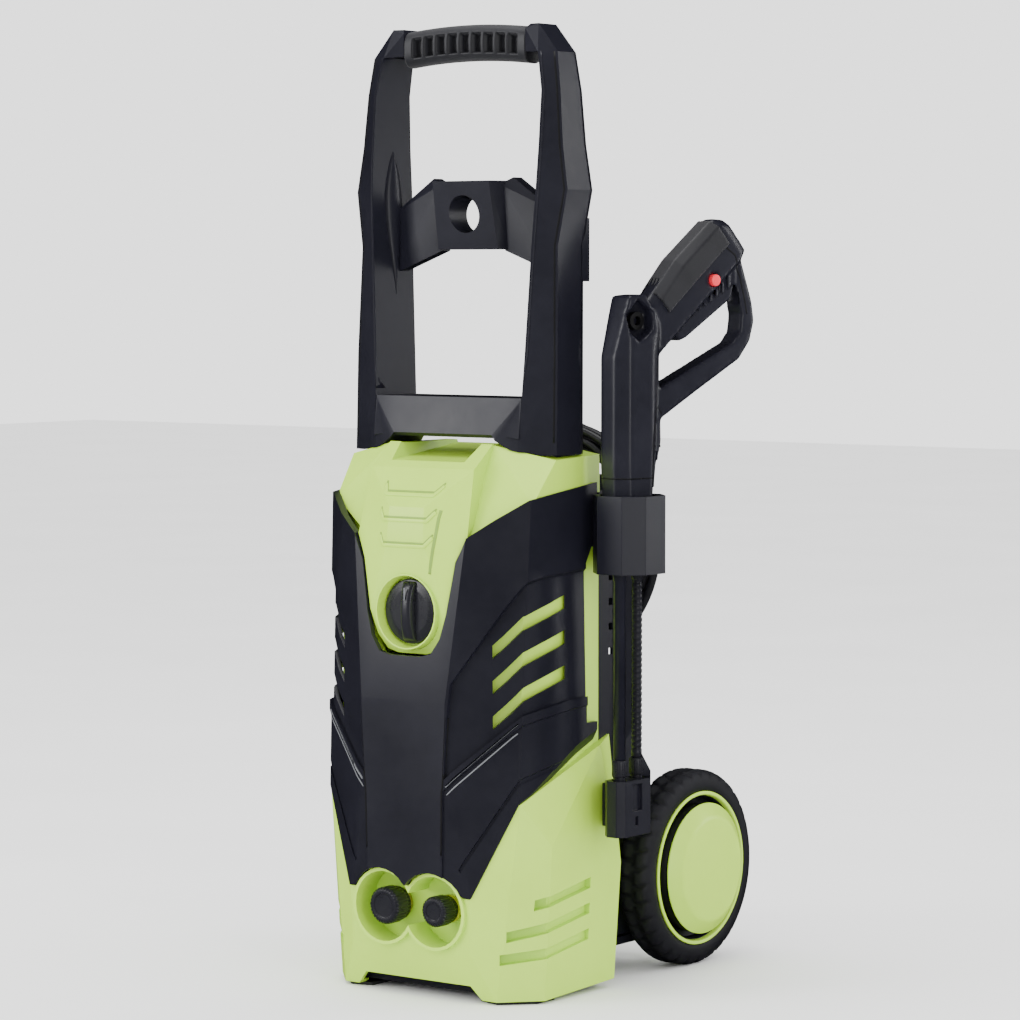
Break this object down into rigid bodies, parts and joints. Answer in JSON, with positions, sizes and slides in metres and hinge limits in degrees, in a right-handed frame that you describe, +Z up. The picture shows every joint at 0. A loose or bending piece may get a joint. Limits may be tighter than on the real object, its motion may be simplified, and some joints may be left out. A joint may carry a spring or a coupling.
{
  "type": "electric pressure washer",
  "caption": "Upright wheeled electric pressure washer with a fixed top handle, spray gun and lances in side holders and a hanging power cord.",
  "frame": {"origin": "on the floor, under the middle of the footprint without its cord", "axes": "+Z up, -Y out of the front with the switch dial and hose sockets, +X towards the side with the spray gun"},
  "size_m": [0.325, 0.3796, 0.85],
  "materials": {
    "green_shell": "satin moulded plastic",
    "black_shell": "fine-grained moulded plastic",
    "soft_grip": "matt soft overmould",
    "wheel_tyre": "matt",
    "foot_rubber": "matt",
    "cord_jacket": "satin",
    "bright_steel": "brushed",
    "brass": "turned",
    "cast_alloy": "as cast",
    "grey_plastic": "matt",
    "red_button": "satin"
  },
  "bodies": {
    "machine": {"front_housing": "green_shell", "top_panel": "green_shell", "front_cover": "black_shell", "rear_housing": "black_shell", "chassis": "black_shell", "front_foot_left": "foot_rubber", "front_foot_right": "foot_rubber", "axle": "bright_steel", "axle_clip_left": "bright_steel", "axle_clip_right": "bright_steel", "handle_frame": "black_shell", "grip_bar": "soft_grip", "cross_brace": "black_shell", "handle_screw_left": "bright_steel", "handle_screw_right": "bright_steel", "switch_box": "grey_plastic", "capacitor": "grey_plastic", "motor_can": "cast_alloy", "pump_block": "cast_alloy", "outlet_pipe": "brass", "outlet_fitting": "brass", "inlet_pipe": "brass", "inlet_fitting": "brass", "gun_holder": "black_shell", "lance_holder": "black_shell", "cord_coil": "cord_jacket", "cord_hook": "black_shell", "cord_tie": "soft_grip", "cord_gland": "cord_jacket", "power_cord": "cord_jacket", "cord_end": "cord_jacket", "plug_body": "cord_jacket", "plug_pin_left": "brass", "plug_pin_right": "brass"},
    "left_wheel": {"tyre_left": "wheel_tyre", "rim_left": "green_shell", "hub_cap_left": "green_shell"},
    "right_wheel": {"tyre_right": "wheel_tyre", "rim_right": "green_shell", "hub_cap_right": "green_shell"},
    "switch_dial": {"dial_knob": "black_shell"},
    "spray_gun": {"gun_body": "black_shell", "gun_grip_pad": "soft_grip", "trigger_pin": "bright_steel", "gun_inlet": "black_shell", "gun_coupling": "brass"},
    "gun_trigger": {"gun_trigger": "soft_grip"},
    "trigger_lock": {"trigger_lock": "red_button"},
    "front_lance": {"lance_1": "soft_grip", "lance_tip_1": "black_shell"},
    "rear_lance": {"lance_2": "soft_grip", "lance_tip_2": "black_shell"},
    "outlet_cap": {"outlet_cap": "black_shell"},
    "inlet_cap": {"inlet_cap": "black_shell"},
    "motor_shaft": {"rotor": "bright_steel", "cooling_fan": "black_shell", "wobble_plate": "bright_steel"},
    "plunger_1": {"plunger_1": "bright_steel"},
    "plunger_2": {"plunger_2": "bright_steel"},
    "plunger_3": {"plunger_3": "bright_steel"}
  },
  "joints": [
    {"name": "left_wheel_spin", "type": "hinge", "parent": "machine", "child": "left_wheel", "pos_m": [-0.13148, 0.10025, 0.0895], "axis": [1, 0, 0], "continuous": true},
    {"name": "right_wheel_spin", "type": "hinge", "parent": "machine", "child": "right_wheel", "pos_m": [0.07052, 0.10025, 0.0895], "axis": [1, 0, 0], "continuous": true},
    {"name": "dial_turn", "type": "hinge", "parent": "machine", "child": "switch_dial", "pos_m": [-0.03048, -0.17975, 0.339], "axis": [0, 1, 0], "range_deg": [0, 90]},
    {"name": "gun_lift", "type": "slide", "parent": "machine", "child": "spray_gun", "axis": [0, 0, 1], "range_m": [0, 0.08]},
    {"name": "trigger_squeeze", "type": "hinge", "parent": "spray_gun", "child": "gun_trigger", "pos_m": [0.13017, -0.01906, 0.59], "axis": [0.9703, -0.2419, 0], "range_deg": [0, 8], "stiffness_Nm_per_rad": 2, "springref_deg": -6.88},
    {"name": "trigger_lock_push", "type": "slide", "parent": "spray_gun", "child": "trigger_lock", "axis": [-0.9703, 0.2419, 0], "range_m": [0, 0.003]},
    {"name": "front_lance_lift", "type": "slide", "parent": "machine", "child": "front_lance", "axis": [0, 0, 1], "range_m": [0, 0.018]},
    {"name": "rear_lance_lift", "type": "slide", "parent": "machine", "child": "rear_lance", "axis": [0, 0, 1], "range_m": [0, 0.018]},
    {"name": "outlet_cap_pull", "type": "slide", "parent": "machine", "child": "outlet_cap", "axis": [0, -1, 0], "range_m": [0, 0.025]},
    {"name": "inlet_cap_pull", "type": "slide", "parent": "machine", "child": "inlet_cap", "axis": [0, -1, 0], "range_m": [0, 0.025]},
    {"name": "motor_spin", "type": "hinge", "parent": "machine", "child": "motor_shaft", "pos_m": [-0.03048, -0.05175, 0.33], "axis": [0, 0, 1], "continuous": true},
    {"name": "plunger_1_stroke", "type": "slide", "parent": "machine", "child": "plunger_1", "axis": [0, 0, 1], "range_m": [-0.007, 0], "stiffness_N_per_m": 500, "springref_m": 0.004},
    {"name": "plunger_2_stroke", "type": "slide", "parent": "machine", "child": "plunger_2", "axis": [0, 0, 1], "range_m": [-0.007, 0], "stiffness_N_per_m": 500, "springref_m": 0.004},
    {"name": "plunger_3_stroke", "type": "slide", "parent": "machine", "child": "plunger_3", "axis": [0, 0, 1], "range_m": [-0.007, 0], "stiffness_N_per_m": 500, "springref_m": 0.004}
  ]
}
